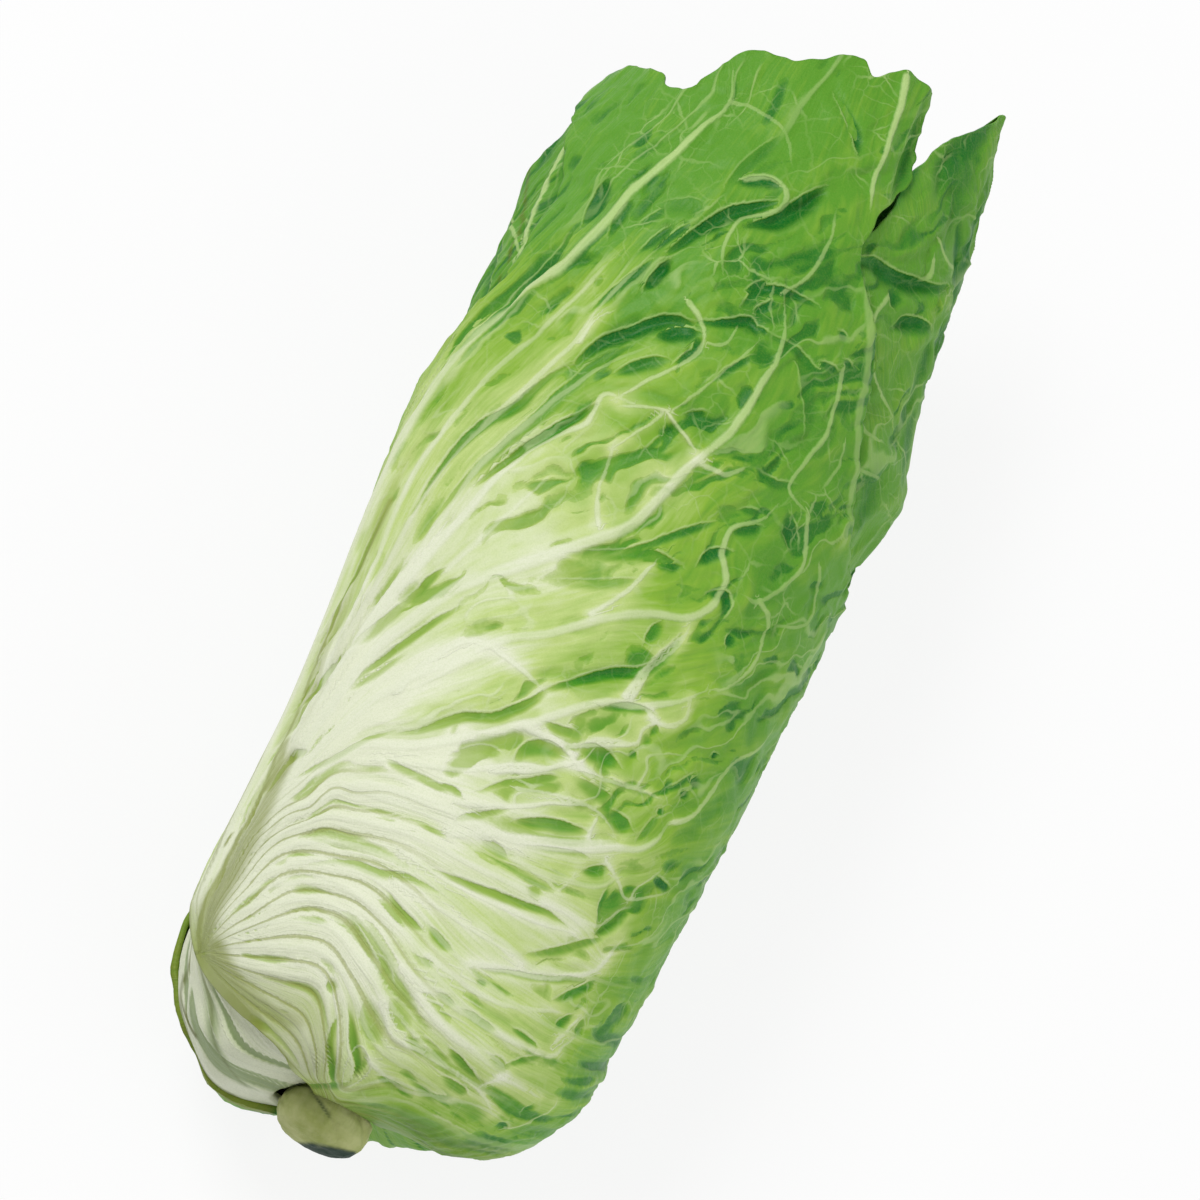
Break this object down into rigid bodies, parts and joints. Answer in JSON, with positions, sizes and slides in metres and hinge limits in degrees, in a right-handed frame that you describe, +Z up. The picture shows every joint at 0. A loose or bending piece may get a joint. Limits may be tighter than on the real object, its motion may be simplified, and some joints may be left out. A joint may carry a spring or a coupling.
{
  "type": "sugarloaf chicory",
  "caption": "Long closed head of sugarloaf chicory lying on its side: a cut stump, large blistered wrapper leaves with pale ribs, and folded inner leaves round a heart bud.",
  "frame": {"origin": "middle of the head's footprint, on the surface it lies on", "axes": "+Y along the head from the cut stump to the leaf tips, +Z up, +X to the right seen from the stump end"},
  "size_m": [0.1334, 0.3396, 0.1109],
  "materials": {
    "leaf_green": "semi-gloss living leaf, white-cream at the base and along the ribs, fresh green blistered blade",
    "leaf_pale": "semi-gloss blanched leaf, pale yellow-green with cream ribs",
    "stump": "matt cut root crown, cream-olive with a browned rim"
  },
  "bodies": {
    "root": {"stump": "stump", "front_leaf": "leaf_green", "under_leaf": "leaf_green", "left_leaf": "leaf_green", "right_leaf": "leaf_green", "inner_leaf_01": "leaf_pale", "inner_leaf_02": "leaf_pale", "inner_leaf_03": "leaf_pale", "inner_leaf_04": "leaf_pale", "inner_leaf_05": "leaf_pale", "inner_leaf_06": "leaf_pale", "inner_leaf_07": "leaf_pale", "inner_leaf_08": "leaf_pale", "inner_leaf_09": "leaf_pale", "inner_leaf_10": "leaf_pale", "heart_bud": "leaf_pale"}
  },
  "joints": []
}
